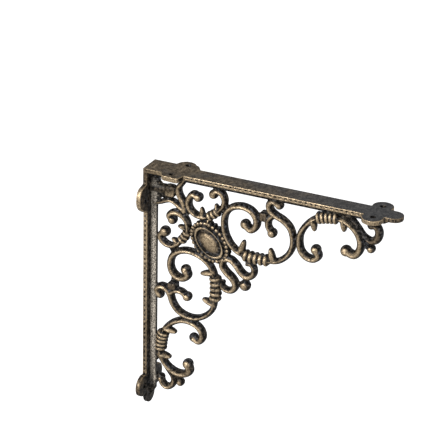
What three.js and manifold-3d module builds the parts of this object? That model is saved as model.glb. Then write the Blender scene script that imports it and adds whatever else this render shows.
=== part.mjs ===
// Ornate cast iron shelf bracket: one casting with two equal arms at a right angle.
// Each arm is a flat plate with a rounded rib behind it, two pairs of screw ears and a round nose.
// Between the arms lies openwork of C-scrolls round an oval medallion with a beaded rim.
// Millimetres. +X runs out along the shelf arm, +Z is up, and Y is across the plates.
// The origin is in the middle of the flat wall face.

import * as THREE from 'three';
import { mergeVertices } from 'three/addons/utils/BufferGeometryUtils.js';
import Module from 'manifold-3d';

const wasm = await Module();
wasm.setup();

// Arms and plates. The near side of a plate is -Y. The corner is wider on its far side.
const ARM_LENGTH = 250;
const PLATE_THICKNESS = 4.2;
const PLATE_WIDTH = 20;
const CORNER_NEAR = 11;
const CORNER_FAR = 13.5;
const NOSE_RADIUS = 8.8;

// Ribs on the inner side of the plates
const RIB_WIDTH = 6;
const RIB_HEIGHT = 5.8;
const RIB_END_GAP = 3;
const RIB_END_SLOPE = 14;
const RIB_END_SHARE = 0.1;

// Screw ears and their holes, for wood screws of 4.5 to 5 mm. The wall arm's ears are larger.
const EAR_RADIUS = 9.8;
const EAR_OFFSET = 13;
const WALL_EAR_RADIUS = 10.8;
const WALL_EAR_OFFSET = 14;
const FIRST_EARS = 32.6;
const LAST_EARS_FROM_TIP = 24;
const HOLE_DIAMETER = 5.2;

// The shelf arm's first far ear slopes down to the plate's edge on the nose's side. The angle is
// where the slope leaves the ear.
const SHELF_SLOPE_END = 48;
const SHELF_SLOPE_ANGLE = 40;

// The wall arm's first near ear is a broad lobe: its outline along and across the plate
const LOBE = [
  [15.6, -11], [16.8, -15], [17.4, -19], [19.8, -22.2], [24, -24], [29.5, -24.7], [34.7, -23.3],
  [38.7, -20.2], [42, -15.4], [44, -10],
];

// The shelf arm's first near ear is only a low lip, as cast: its outline along and across the plate
const LIP = [
  [18.6, -11], [20.4, -14], [22, -16.8], [25, -18.3], [30, -18.8], [36, -19.3], [38.8, -18.6],
  [39.8, -15], [40.8, -10],
];

// Middles of the screw holes, along and across each plate
const SHELF_HOLES = [[29.6, -10.9], [33.6, 14], [226, -12.6], [226, 12.6]];
const WALL_HOLES = [[32.6, -12.8], [32.6, 12.8], [226, -12.8], [226, 12.8]];

// Scroll bars: half their width in the openwork's plane and half their depth across it
const BAR_HALF_WIDTH = 3;
const BAR_HALF_DEPTH = 5.1;
const LOW_HALF_DEPTH = 3.6;
const THORN_HALF_WIDTH = 2.9;
const THORN_HALF_DEPTH = 3.8;
const BAND_HALF_WIDTH = 5.8;
const BAND_HALF_DEPTH = 6.2;
const BAND_GROOVE = 0.84;
const WELD_WIDTH_SHARE = 0.8;
const WELD_DEPTH_SHARE = 0.5;
const LEAST_MITRE = 0.8;

// Radii of the balls in which bars end
const EYE_BALL = 5;
const HOOK_BALL = 3.9;
const OUTER_START_BALL = 4.9;
const OUTER_END_BALL = 5.4;
const INNER_START_BALL = 4.5;
const INNER_END_BALL = 4.4;
const BRANCH_TIP_BALL = 3.5;
const BRANCH_BALL = 4.7;
const BUD_BALL = 4.1;
const FOOT_BALL = 5.6;

// The knob in the corner and the round block between the large scroll and its branch, as half
// sizes along the arm, down, and across
const CORNER_KNOB = [5.8, 6.6, 5];
const COLLAR = [4.1, 4.9, 5.2];

// Medallion, whose long axis lies on the diagonal between the arms
const RIM_LONG = 21;
const RIM_SHORT = 15.4;
const RIM_HALF_DEPTH = 4.2;
const BEAD_COUNT = 28;
const BEAD_RISE = 1.6;
const RING_WIDTH = 2.4;
const RING_INSET = 3;
const RING_SLOPE = 0.5;
const GROOVE_SLOPE = 0.3;
const RING_HALF_DEPTH = 5.6;
const GROOVE_WIDTH = 1.6;
const GROOVE_HALF_DEPTH = 3.4;
const DOME_HALF_DEPTH = 5.4;
const DOME_ROUNDING = 5;
const BEAD_BEVEL = 1.4;
const MEDALLION_PLACE = [65.2, 64.2];

// The openwork is drawn at these sizes, and stretched to fit between ribs and arms of other sizes
const DRAWN_ARM = 250;
const DRAWN_RIB_DEPTH = 10;

// Facets
const ROUND_STEPS = 7;
const HOLE_STEPS = 5;
const BALL_SIDES = 8;
const BALL_BANDS = 5;
const BOSS_SIDES = 22;
const TURN_PER_STEP = 30;
const LONGEST_STEP = 16;

// The rib's crest, measured from the outer face of its plate
const RIB_DEPTH = PLATE_THICKNESS + RIB_HEIGHT;
const STRETCH = (ARM_LENGTH - RIB_DEPTH) / (DRAWN_ARM - DRAWN_RIB_DEPTH);

// A closed three.js geometry as a solid
function solid(geometry) {
  const bare = geometry.index ? geometry.toNonIndexed() : geometry;
  const points = new THREE.BufferGeometry();
  points.setAttribute('position', bare.getAttribute('position'));
  const merged = mergeVertices(points, 1e-4);
  return new wasm.Manifold(new wasm.Mesh({
    numProp: 3,
    vertProperties: Float32Array.from(merged.getAttribute('position').array),
    triVerts: Uint32Array.from(merged.index.array),
  }));
}

// Solids joined two by two, which keeps every join small
function join(solids) {
  let list = solids;
  while (list.length > 1) {
    const next = [];
    for (let i = 0; i < list.length; i += 2) {
      next.push(i + 1 < list.length ? list[i].add(list[i + 1]) : list[i]);
    }
    list = next;
  }
  return list[0];
}

// A distance from the outer face of a plate, as drawn, in the real part
function stretched(distance) {
  return RIB_DEPTH + (distance - DRAWN_RIB_DEPTH) * STRETCH;
}

// A point of the drawing, [along the shelf arm, down the wall arm], in the plane Y = 0.
// Both distances are from the outer faces of the plates, and Z is still 0 on the shelf face.
function at([along, down]) {
  return new THREE.Vector3(stretched(along), 0, -stretched(down));
}

// The same points on the other side of the diagonal
function mirrored(points) {
  return points.map(([along, down]) => [down, along]);
}

// A closed solid through rings of points, with a point in the middle of both ends
function loft(rings) {
  const sides = rings[0].length;
  const positions = rings.flat().flatMap((p) => [p.x, p.y, p.z]);
  const faces = [];
  for (let i = 0; i + 1 < rings.length; i += 1) {
    for (let k = 0; k < sides; k += 1) {
      const a = i * sides + k;
      const b = i * sides + ((k + 1) % sides);
      faces.push(a, a + sides, b, b, a + sides, b + sides);
    }
  }
  const last = (rings.length - 1) * sides;
  for (const [start, ring] of [[0, rings[0]], [last, rings[rings.length - 1]]]) {
    const middle = ring.reduce((sum, p) => sum.add(p), new THREE.Vector3()).divideScalar(sides);
    const hub = positions.length / 3;
    positions.push(middle.x, middle.y, middle.z);
    for (let k = 0; k < sides; k += 1) {
      const here = start + k;
      const next = start + ((k + 1) % sides);
      faces.push(...(start === 0 ? [hub, here, next] : [hub, next, here]));
    }
  }
  const geometry = new THREE.BufferGeometry();
  geometry.setAttribute('position', new THREE.Float32BufferAttribute(positions, 3));
  geometry.setIndex(faces);
  return solid(geometry);
}

// Sections, as shares of a half width in the openwork's plane and a half depth across it
const RIDGED = [[0, 1], [-1, 0.5], [-1, -0.5], [0, -1], [1, -0.5], [1, 0.5]];
const DIAMOND = [[0, 1], [-1, 0], [0, -1], [1, 0]];

// A bar along a line of points; sizes holds a half width and a half depth for each point
function sweep(line, sizes, section = RIDGED) {
  const across = new THREE.Vector3(0, 1, 0);
  const rings = line.map((point, i) => {
    const before = point.clone().sub(line[Math.max(i - 1, 0)]).normalize();
    const after = line[Math.min(i + 1, line.length - 1)].clone().sub(point).normalize();
    const along = before.clone().add(after).normalize();
    const inPlane = along.clone().cross(across);
    const mitre = 1 / Math.max(LEAST_MITRE, Math.cos(before.angleTo(after) / 2) || 1);
    const [halfWidth, halfDepth] = sizes[i];
    return section.map(([u, v]) => point.clone()
      .addScaledVector(inPlane, u * halfWidth * (i > 0 && i + 1 < line.length ? mitre : 1))
      .addScaledVector(across, v * halfDepth));
  });
  return loft(rings);
}

// Steps along one stretch of a curve, more where it turns more
function stepsBetween(curve, from, to) {
  const start = curve.getTangent(from);
  const middle = curve.getTangent((from + to) / 2);
  const end = curve.getTangent(to);
  const turn = THREE.MathUtils.radToDeg(start.angleTo(middle) + middle.angleTo(end));
  const length = curve.getPoint(from).distanceTo(curve.getPoint(to));
  return Math.max(Math.ceil(turn / TURN_PER_STEP), Math.ceil(length / LONGEST_STEP));
}

// A ball's stations from its pole to where the bar leaves it, as distances and sizes in radii
const BALL_PROFILE = [[-1, 0.12], [-0.68, 0.74], [0, 1], [0.68, 0.74]];

// One ring of a band, as places along its pitch and sizes
const BAND_PROFILE = [[0.06, BAND_GROOVE], [0.28, 1], [0.78, 1]];

// How much of its full size a bar has at its two tips, and over which share of its length it grows
const TIP = 0.85;
const GROWTH = 0.25;

// A scroll bar through drawn points. It starts and ends in a ball where a radius is given, and
// bands holds the point after which it is wrapped in rings, with their count and size.
function scrollBar(points, options) {
  const { startBall = 0, endBall = 0, start = TIP, end = TIP, bands = [], depth = BAR_HALF_DEPTH } = options;
  const curve = new THREE.CatmullRomCurve3(points.map(at), false, 'centripetal');
  const stretches = points.length - 1;
  const line = [];
  const sizes = [];
  const add = (point, halfWidth, halfDepth) => {
    line.push(point);
    sizes.push([halfWidth, halfDepth]);
  };
  const barScale = (t) => {
    const tip = t < 0.5 ? start : end;
    return tip + (1 - tip) * Math.min(1, Math.min(t, 1 - t) / GROWTH);
  };
  const first = curve.getPoint(0);
  const last = curve.getPoint(1);
  const startReach = startBall * STRETCH;
  const endReach = endBall * STRETCH;
  if (startBall) {
    const out = curve.getTangent(0);
    BALL_PROFILE.forEach(([place, size]) => {
      add(first.clone().addScaledVector(out, place * startReach), size * startReach, size * startReach);
    });
  }
  for (let i = 0; i < stretches; i += 1) {
    const wrapped = bands.find((item) => item.after === i);
    if (wrapped) {
      for (let k = 0; k < wrapped.count * BAND_PROFILE.length; k += 1) {
        const [place, size] = BAND_PROFILE[k % BAND_PROFILE.length];
        const ring = Math.floor(k / BAND_PROFILE.length);
        const scale = size * wrapped.size;
        const point = curve.getPoint((i + (ring + place) / wrapped.count) / stretches);
        add(point, BAND_HALF_WIDTH * scale, BAND_HALF_DEPTH * scale);
      }
    } else {
      const steps = stepsBetween(curve, i / stretches, (i + 1) / stretches);
      for (let k = i === 0 ? 0 : 1; k <= steps; k += 1) {
        const t = (i + k / steps) / stretches;
        const point = curve.getPoint(t);
        if (point.distanceTo(first) >= startReach && point.distanceTo(last) >= endReach) {
          add(point, BAR_HALF_WIDTH * barScale(t), depth * barScale(t));
        }
      }
    }
  }
  if (endBall) {
    const out = curve.getTangent(1);
    [...BALL_PROFILE].reverse().forEach(([place, size]) => {
      add(last.clone().addScaledVector(out, -place * endReach), size * endReach, size * endReach);
    });
  }
  return sweep(line, sizes);
}

// Metal between two bars that touch, from the middle of the one to the middle of the other
function weld(from, to, width) {
  const size = [BAR_HALF_WIDTH * WELD_WIDTH_SHARE * width, BAR_HALF_DEPTH * WELD_DEPTH_SHARE];
  return sweep([at(from), at(to)], [size, size], DIAMOND);
}

// A separate ball or egg with its half sizes along the arm, down and across
function ball(centre, [halfLength, halfHeight, halfDepth]) {
  const egg = new THREE.SphereGeometry(1, BALL_SIDES, BALL_BANDS);
  egg.rotateX(Math.PI / 2);
  egg.rotateY(Math.PI / BALL_SIDES);
  egg.scale(halfLength * STRETCH, halfDepth * STRETCH, halfHeight * STRETCH);
  const place = at(centre);
  egg.translate(place.x, place.y, place.z);
  return solid(egg);
}

// A thorn's stations from root to tip, as places along it and sizes
const THORN_PROFILE = [[0, 1], [0.66, 0.92], [1, 0.4]];

// A blunt thorn from its root to its tip
function thorn(root, tip, width) {
  const start = at(root);
  const line = THORN_PROFILE.map(([place]) => start.clone().lerp(at(tip), place));
  const sizes = THORN_PROFILE.map(([, size]) => [
    THORN_HALF_WIDTH * width * size,
    THORN_HALF_DEPTH * width * size,
  ]);
  return sweep(line, sizes);
}

// Outline of a plate, from the corner to the nose and back
function plateOutline(forShelf) {
  const half = PLATE_WIDTH / 2;
  const noseCentre = ARM_LENGTH - NOSE_RADIUS;
  const lastEars = ARM_LENGTH - LAST_EARS_FROM_TIP;
  const radius = forShelf ? EAR_RADIUS : WALL_EAR_RADIUS;
  const offset = forShelf ? EAR_OFFSET : WALL_EAR_OFFSET;
  const intoPlate = Math.asin((offset - half) / radius);
  const intoNose = Math.asin((offset - NOSE_RADIUS) / radius);
  const intoCorner = Math.asin((offset - CORNER_FAR) / radius);
  const shape = new THREE.Shape();
  shape.moveTo(0, -CORNER_NEAR);
  const firstNearEar = forShelf ? LIP : LOBE;
  firstNearEar.forEach(([along, across]) => shape.lineTo(along, across));
  shape.absarc(lastEars, -offset, radius, Math.PI - intoPlate, 2 * Math.PI + intoNose, false);
  shape.absarc(noseCentre, 0, NOSE_RADIUS, -Math.PI / 2, Math.PI / 2, false);
  shape.absarc(lastEars, offset, radius, -intoNose, Math.PI + intoPlate, false);
  if (forShelf) {
    shape.lineTo(SHELF_SLOPE_END, half);
    const slopeAngle = THREE.MathUtils.degToRad(SHELF_SLOPE_ANGLE);
    shape.absarc(FIRST_EARS, offset, radius, slopeAngle, Math.PI + intoCorner, false);
  } else {
    shape.absarc(FIRST_EARS, offset, radius, -intoPlate, Math.PI + intoCorner, false);
  }
  shape.lineTo(0, CORNER_FAR);
  shape.closePath();
  return shape;
}

// Screw holes through a plate
function screwHoles(places) {
  return join(places.map(([along, across]) => {
    const hole = new THREE.Shape();
    hole.absarc(along, across, HOLE_DIAMETER / 2, 0, 2 * Math.PI, false);
    const drill = new THREE.ExtrudeGeometry(hole, {
      depth: PLATE_THICKNESS * 3,
      bevelEnabled: false,
      curveSegments: HOLE_STEPS,
    });
    drill.translate(0, 0, -PLATE_THICKNESS * 2);
    return solid(drill);
  }));
}

// One side of the rib's section, as shares of its half width and of its height
const RIB_PROFILE = [[-1, 0.5], [-0.8, 0.86], [-0.4, 1]];

// The rib of an arm: a rounded bar whose end slopes up into the nose
function rib() {
  const half = RIB_WIDTH / 2;
  const plate = -PLATE_THICKNESS;
  const length = ARM_LENGTH - RIB_END_GAP;
  const stations = [[0, 1], [length - RIB_END_SLOPE, 1], [length, RIB_END_SHARE]];
  const rings = stations.map(([along, rise]) => {
    const under = RIB_PROFILE.map(([y, z]) => [y * half, plate - RIB_HEIGHT * z * rise]);
    const ring = [[-half, plate / 2], ...under];
    const otherSide = ring.map(([y, z]) => [-y, z]).reverse();
    return [...ring, ...otherSide].reverse().map(([y, z]) => new THREE.Vector3(along, y, z));
  });
  return loft(rings);
}

// An arm laid along X, with its outer face at Z = 0
function arm(forShelf) {
  const plate = new THREE.ExtrudeGeometry(plateOutline(forShelf), {
    depth: PLATE_THICKNESS,
    bevelEnabled: false,
    curveSegments: ROUND_STEPS,
  });
  plate.translate(0, 0, -PLATE_THICKNESS);
  return solid(plate).add(rib());
}

// Lays an arm along the wall: X and -Z change over
function overDiagonal(part) {
  return part.transform([0, 0, -1, 0, 0, 1, 0, 0, -1, 0, 0, 0, 0, 0, 0, 1]);
}

// Each bar of the openwork as drawn under the shelf arm, and then beside the wall arm as
// [down, along], so that both lists run the same way. The casting isn't quite alike on both sides.

// The large C-scroll beside the medallion, from its spiral eye to the hook at the rib
const largeScroll = [
  [99.9, 39.4], [105.6, 43.4], [110.4, 39.2], [111, 32.3], [106.3, 25.3], [97, 22.3],
  [86.6, 25], [80.2, 32.5], [78.6, 43], [81.3, 55], [88.5, 65], [98.8, 70.2],
  [124, 70.8], [133.5, 68.8], [141.8, 62], [146.6, 53], [147.2, 43], [143.9, 33.3],
  [137, 27.3], [129.5, 24], [124, 19.8], [123.2, 14.2], [127.2, 10.6], [132.8, 13.6],
];
const largeScrollAtWall = [
  [98.9, 40.2], [103.8, 42.8], [107.8, 39], [108.4, 32.8], [104.4, 27], [96.4, 24.4],
  [87.4, 26.6], [81.4, 33], [78.8, 43], [81.3, 55], [88.5, 65], [98.8, 70.2],
  [124, 70.8], [133.5, 68.8], [141.8, 62], [146.6, 53], [147.2, 43], [143.5, 33.3],
  [136, 27.3], [128.5, 24.6], [123, 20.8], [121.6, 14.8], [125.4, 10.8], [130.8, 13.8],
];

// The C-scroll towards the nose, with its back against the rib
const outerScroll = [
  [169.6, 49.4], [172.4, 55], [167.6, 59.2], [160.8, 58.4], [155.6, 53.4], [153.6, 45.5],
  [154.3, 36.8], [158.6, 28.3], [164.4, 21.6], [169.6, 18.2], [189.4, 14.4], [199, 16.6],
  [207, 22.6], [211.8, 31.6], [211.4, 40.6], [206.4, 46.4], [198.4, 44.1],
];
const outerScrollAtWall = [
  [168.4, 49.8], [170.8, 55.2], [166.4, 58.9], [160.4, 58.2], [155, 53.4], [152.4, 45.5],
  [152.8, 36.8], [156.8, 28.3], [163, 21.6], [169, 18], [189.4, 14.8], [198.6, 17],
  [206.2, 23], [210.6, 32], [210, 40.6], [205.4, 46], [198.4, 43.9],
];

// The small C-scroll between the corner and the medallion
const innerScroll = [
  [52, 22.4], [47.4, 20.2], [43.4, 24.6], [42.2, 31], [44.6, 36.4], [51, 40.6],
  [61.6, 39.8], [71.6, 31.4], [76.6, 25.2], [77.8, 19], [75.2, 13.6], [70.4, 12.2], [67.4, 16.2],
];
const innerScrollAtWall = [
  [50.4, 26], [46.6, 23], [43.2, 26], [42.4, 31.6], [45.4, 38], [51.2, 41.6],
  [58.8, 41.8], [70.2, 34.8], [76, 28], [76, 20.6], [72.2, 15.6], [67.4, 14.2], [62.6, 19],
];

// The branch that ends the openwork at the last ear. Its root lies low behind the outer scroll.
const endBranch = [
  [195, 6], [203, 12.6], [209, 19.2], [214.8, 26], [221.4, 29.2], [227, 26.4], [228.6, 20],
  [226, 14.4], [221, 14.4],
];
const endBranchAtWall = [
  [190, 8], [195.5, 13.6], [202, 18.2], [208.8, 23.3], [214.6, 28], [220, 29.6], [226, 26.8],
  [228.4, 22], [225.5, 17.4], [219.5, 15.6],
];

// The strand that hooks from the foot of the medallion to the large scroll
const footStrand = [
  [78, 79.5], [85.6, 77.8], [91.6, 82], [97, 88.6], [103, 91.8], [108.8, 88.8],
  [110, 83], [107, 78.2], [102, 78.6],
];

// The branch with a ball, inside the large scroll, and the bud beside the outer one
const ballBranch = [[127.5, 24.5], [123, 29.5], [122.6, 36], [126.6, 42.3]];
const bud = [[210, 31], [218.6, 35.6]];

// The strands from the arms to the heart's point
const heartStrand = [
  [39.6, 5.4], [36, 11], [32.6, 15.6], [31.9, 19.6], [33, 24], [36, 29], [38.2, 33.6], [38.8, 40],
];
const heartStrandAtWall = [
  [36.4, 7], [35, 13], [32.4, 19], [31, 23.6], [32.2, 28], [35, 32.6], [37.4, 36.6], [39, 39.6],
];

// Thorns beside the bands: root, tip and width
const thorns = [
  [[95.8, 69], [99.2, 55.6], 1],
  [[128, 69.5], [125, 58], 1],
  [[165.6, 20], [167.6, 31.6], 1],
  [[194.6, 15.5], [195.8, 26], 1],
  [[56.6, 40.2], [55.4, 31.6], 0.8],
  [[72.2, 32.8], [69.6, 25.2], 0.8],
];

// Links between bars that touch: start, end and width
const links = [
  [[110, 28.4], [125.5, 26.4], 1.3],
  [[147.2, 44], [153.6, 44], 1.3],
  [[76, 23], [84, 28], 1.1],
  [[56, 41], [60, 52], 1.3],
  [[43.2, 32], [35, 32], 1.1],
  [[81, 54], [74, 58], 1.3],
  [[103, 71], [103.6, 79], 1.2],
  [[101.2, 101.2], [101.6, 91.4], 1.2],
  [[181, 16], [181, 6], 1.5],
  [[222, 15], [222, 6], 1.2],
  [[192, 14], [201, 9], 1.2],
];
const collarPlace = [118.4, 27.2];

// Bands: the drawn point after which each starts, its rings and their size
const largeBand = { after: 11, count: 5, size: 1.04 };
const outerBand = { after: 9, count: 5, size: 1.04 };
const innerBand = { after: 6, count: 3, size: 0.82 };

// The openwork on one side of the diagonal; turn gives the points their side
function half(turn, { large, outer, inner, branch, heart }) {
  const bar = (points, options) => scrollBar(turn(points), options);
  const [place] = turn([collarPlace]);
  const [[halfLength, halfHeight]] = turn([COLLAR]);
  return [
    bar(large, { startBall: EYE_BALL, endBall: HOOK_BALL, bands: [largeBand] }),
    bar(outer, { startBall: OUTER_START_BALL, endBall: OUTER_END_BALL, bands: [outerBand] }),
    bar(inner, { startBall: INNER_START_BALL, endBall: INNER_END_BALL, bands: [innerBand] }),
    bar(branch, { start: 1, endBall: BRANCH_TIP_BALL, depth: LOW_HALF_DEPTH }),
    bar(footStrand, { start: 1 }),
    bar(ballBranch, { start: 1, endBall: BRANCH_BALL }),
    bar(bud, { start: 1, endBall: BUD_BALL, depth: LOW_HALF_DEPTH }),
    bar(heart, { end: 1 }),
    ball(place, [halfLength, halfHeight, COLLAR[2]]),
    ...thorns.map(([root, tip, width]) => thorn(...turn([root, tip]), width)),
    ...links.map(([from, to, width]) => weld(...turn([from, to]), width)),
  ];
}

// Points round an oval on the medallion's diagonal, at a height across the openwork
function ovalPoints(steps, inset, height, swell = () => 0) {
  const centre = at(MEDALLION_PLACE);
  const long = new THREE.Vector3(1, 0, -1).normalize();
  const short = new THREE.Vector3(1, 0, 1).normalize();
  return Array.from({ length: steps }, (_, k) => {
    const angle = (2 * Math.PI * k) / steps;
    const out = swell(k) - inset;
    return centre.clone()
      .addScaledVector(long, (RIM_LONG + out) * STRETCH * Math.cos(angle))
      .addScaledVector(short, (RIM_SHORT + out) * STRETCH * Math.sin(angle))
      .setY(height);
  });
}

// The medallion's beaded rim: an oval plate whose edge swells out at every bead
function beadedRim() {
  const steps = BEAD_COUNT * 2;
  const swell = (k) => (k % 2 === 0 ? 0 : BEAD_RISE);
  const stations = [[BEAD_BEVEL, -1], [0, -0.5], [0, 0.5], [BEAD_BEVEL, 1]];
  return loft(stations.map(([inset, side]) => ovalPoints(steps, inset, side * RIM_HALF_DEPTH, swell)));
}

// The raised ring, the groove and the dome inside the rim, alike on both faces
function boss() {
  const groove = RING_INSET + RING_WIDTH;
  const dome = groove + GROOVE_WIDTH;
  const front = [
    [RING_INSET + RING_SLOPE, RING_HALF_DEPTH],
    [groove - RING_SLOPE, RING_HALF_DEPTH],
    [groove + GROOVE_SLOPE, GROOVE_HALF_DEPTH],
    [dome, GROOVE_HALF_DEPTH],
    [dome + DOME_ROUNDING, DOME_HALF_DEPTH],
  ];
  const back = front.map(([inset, height]) => [inset, -height]).reverse();
  return loft([...back, ...front].map(([inset, height]) => ovalPoints(BOSS_SIDES, inset, height)));
}

const shelfArm = arm(true).subtract(screwHoles(SHELF_HOLES));
const wallArm = overDiagonal(arm(false).subtract(screwHoles(WALL_HOLES)));

// On the diagonal: the corner knob with its neck and the web below it, the heart's point, the
// medallion and the ball at the foot
const cornerKnobPlace = [23.6, 21.6];
const cornerNeck = [[5, 21.4], [22, 21.2]];
const cornerWeb = [[8, 28.5], [20, 26.5]];
const heartPoint = [[36, 37], [42, 43]];
const footBallPlace = [101.2, 101.2];
const NECK_WIDTH = 2;
const WEB_WIDTH = 1.3;
const HEART_POINT_WIDTH = 1.2;
const middle = [
  beadedRim(),
  boss(),
  ball(cornerKnobPlace, CORNER_KNOB),
  weld(...cornerNeck, NECK_WIDTH),
  weld(...cornerWeb, WEB_WIDTH),
  weld(...heartPoint, HEART_POINT_WIDTH),
  ball(footBallPlace, [FOOT_BALL, FOOT_BALL, FOOT_BALL]),
];

const shelfHalf = half((points) => points, {
  large: largeScroll,
  outer: outerScroll,
  inner: innerScroll,
  branch: endBranch,
  heart: heartStrand,
});
const wallHalf = half(mirrored, {
  large: largeScrollAtWall,
  outer: outerScrollAtWall,
  inner: innerScrollAtWall,
  branch: endBranchAtWall,
  heart: heartStrandAtWall,
});
const casting = join([shelfArm, wallArm, ...shelfHalf, ...wallHalf, ...middle]);

// Back to a three.js geometry, with flat faces
function toGeometry(part) {
  const mesh = part.getMesh();
  const geometry = new THREE.BufferGeometry();
  geometry.setAttribute('position', new THREE.BufferAttribute(new Float32Array(mesh.vertProperties), 3));
  geometry.setIndex(new THREE.BufferAttribute(new Uint32Array(mesh.triVerts), 1));
  geometry.computeVertexNormals();
  return geometry;
}

const brushedIron = new THREE.MeshStandardMaterial({
  name: 'bronze brushed iron',
  color: 0x4f4639,
  roughness: 0.55,
  metalness: 0.7,
});

const bracket = new THREE.Mesh(toGeometry(casting), brushedIron);
bracket.name = 'bracket_casting';
bracket.position.z = ARM_LENGTH / 2;

const group = new THREE.Group();
group.add(bracket);

export default group;
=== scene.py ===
# %% [markdown]
# A cast iron shelf bracket, brushed with bronze.
# The real bracket is one casting: two plates at a right angle, with openwork scrolls between them.
# The frame holds its true size and place. This lesson models the fine form of the casting around
# that frame, fuses it into one skin as molten iron would, and then gives it its worn finish.

# %% Load the frame
import math

import bpy
import numpy as np
from mathutils import Matrix, Vector


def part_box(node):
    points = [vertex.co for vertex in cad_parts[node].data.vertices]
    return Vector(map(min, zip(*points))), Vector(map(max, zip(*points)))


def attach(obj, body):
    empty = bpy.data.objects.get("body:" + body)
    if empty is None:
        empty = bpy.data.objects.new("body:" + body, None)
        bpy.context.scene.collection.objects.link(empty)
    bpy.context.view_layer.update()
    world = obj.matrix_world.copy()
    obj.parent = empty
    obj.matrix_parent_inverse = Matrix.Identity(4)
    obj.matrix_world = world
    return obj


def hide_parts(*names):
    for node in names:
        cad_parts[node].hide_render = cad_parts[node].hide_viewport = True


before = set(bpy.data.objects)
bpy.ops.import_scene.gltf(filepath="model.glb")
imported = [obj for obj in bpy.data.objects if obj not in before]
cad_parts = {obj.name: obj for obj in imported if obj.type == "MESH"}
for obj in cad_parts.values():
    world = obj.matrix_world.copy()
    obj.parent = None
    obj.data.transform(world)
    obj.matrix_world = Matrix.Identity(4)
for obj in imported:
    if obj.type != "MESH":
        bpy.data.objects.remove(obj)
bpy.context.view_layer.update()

casting_low, casting_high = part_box("bracket_casting")
print("casting from", casting_low, "to", casting_high)

# %% [markdown]
# Sizes are in millimetres, as a pattern maker would note them, and one factor turns them into
# Blender's metres. The arms' length comes from the frame. A place in the openwork is two distances:
# how far it lies along the shelf arm from the wall face, and how far down from the shelf face.

# %% Sizes and places
MM = 0.001
ARM = (casting_high.x - casting_low.x) / MM
SHELF_FACE = casting_high.z / MM

PLATE_THICKNESS = 4.2
PLATE_HALF_WIDTH = 10.0
RIB_HALF_WIDTH = 3.0
RIB_HEIGHT = 5.8
BAR_HALF_WIDTH = 3.15
BAR_HALF_DEPTH = 5.4
SUNK_HALF_DEPTH = 3.5
BRIDGE_HALF_DEPTH = 2.8
BAND_HALF_WIDTH = 5.5
BAND_HALF_DEPTH = 6.0


def place(along, down, across=0.0):
    """A point of the casting in metres."""
    return Vector((along, across, SHELF_FACE - down)) * MM


print("arms of", round(ARM, 1), "mm")

# %% [markdown]
# The camera stands where the photographer stood: a little to the right of the bracket and above it,
# far away with a long lens, so that the lines stay nearly parallel.

# %% Camera
VIEW_AZIMUTH = math.radians(24.90)
VIEW_ELEVATION = math.radians(24.56)
VIEW_ROLL = math.radians(-1.24)
VIEW_DISTANCE = 1.748
LENS_MM = 159.9
SENSOR_MM = 36.0
AIM = place(68.8, SHELF_FACE - 88.0)

back = Vector((
    math.sin(VIEW_AZIMUTH) * math.cos(VIEW_ELEVATION),
    -math.cos(VIEW_AZIMUTH) * math.cos(VIEW_ELEVATION),
    math.sin(VIEW_ELEVATION),
))
level_right = Vector((math.cos(VIEW_AZIMUTH), math.sin(VIEW_AZIMUTH), 0.0))
level_up = back.cross(level_right)
level_share, tilt_share = math.cos(VIEW_ROLL), math.sin(VIEW_ROLL)
right = level_right * level_share - level_up * tilt_share
up = level_right * tilt_share + level_up * level_share

bpy.ops.object.camera_add()
camera = bpy.context.object
camera.name = "camera"
camera.data.lens = LENS_MM
camera.data.sensor_width = SENSOR_MM
camera.data.clip_end = 50.0
axes = Matrix((right, up, back)).transposed()
camera.matrix_world = Matrix.Translation(AIM + back * VIEW_DISTANCE) @ axes.to_4x4()
bpy.context.scene.camera = camera
print("camera at", camera.location)

# %% [markdown]
# Every operator works on what is selected, and loading the frame leaves its node selected. So each
# piece starts from an empty selection. Parts that will be cast together are gathered in one list.

# %% Working helpers
casting_parts = []


def select_only(*objects):
    """Leaves just these objects selected, the last of them active."""
    bpy.ops.object.select_all(action="DESELECT")
    for item in objects:
        item.select_set(True)
    bpy.context.view_layer.objects.active = objects[-1]


def apply_place():
    """Moves the place of the selected objects into their meshes."""
    bpy.ops.object.transform_apply(location=True, rotation=True, scale=True)


def keep(item, name):
    """Names a part of the casting, bakes its place and adds it to the list."""
    select_only(item)
    item.name = name
    apply_place()
    casting_parts.append(item)
    return item


def use_modifier(item, kind, **settings):
    """Adds a modifier with these settings and applies it."""
    select_only(item)
    modifier = item.modifiers.new(kind.lower(), kind)
    for key, value in settings.items():
        setattr(modifier, key, value)
    bpy.ops.object.modifier_apply(modifier=modifier.name)


# %% [markdown]
# The scroll bars have one section all through: narrow in the plane of the openwork, deep across it,
# and drawn up to a ridge on both faces. It starts as a circle whose points are pushed to that form,
# and becomes the bevel of a curve. A spin or an array couldn't follow such free scrolls, and a
# curve with a bevel follows them exactly, with a radius at each point for the taper.

# %% Section of a scroll bar
RIDGED_QUARTER = [(0.0, 1.0), (0.2, 0.93), (0.45, 0.8), (0.72, 0.62), (0.94, 0.38), (1.0, 0.12)]
ROUND_QUARTER = [(math.sin(angle), math.cos(angle)) for angle in np.radians([0, 16, 34, 52, 70, 85])]


def all_round(quarter):
    """The whole section from one quarter of it, starting at the front ridge."""
    one_side = quarter + [(across, -height) for across, height in quarter[::-1]]
    other_side = [(-across, height) for across, height in one_side[-2:0:-1]]
    return one_side + other_side


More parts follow.
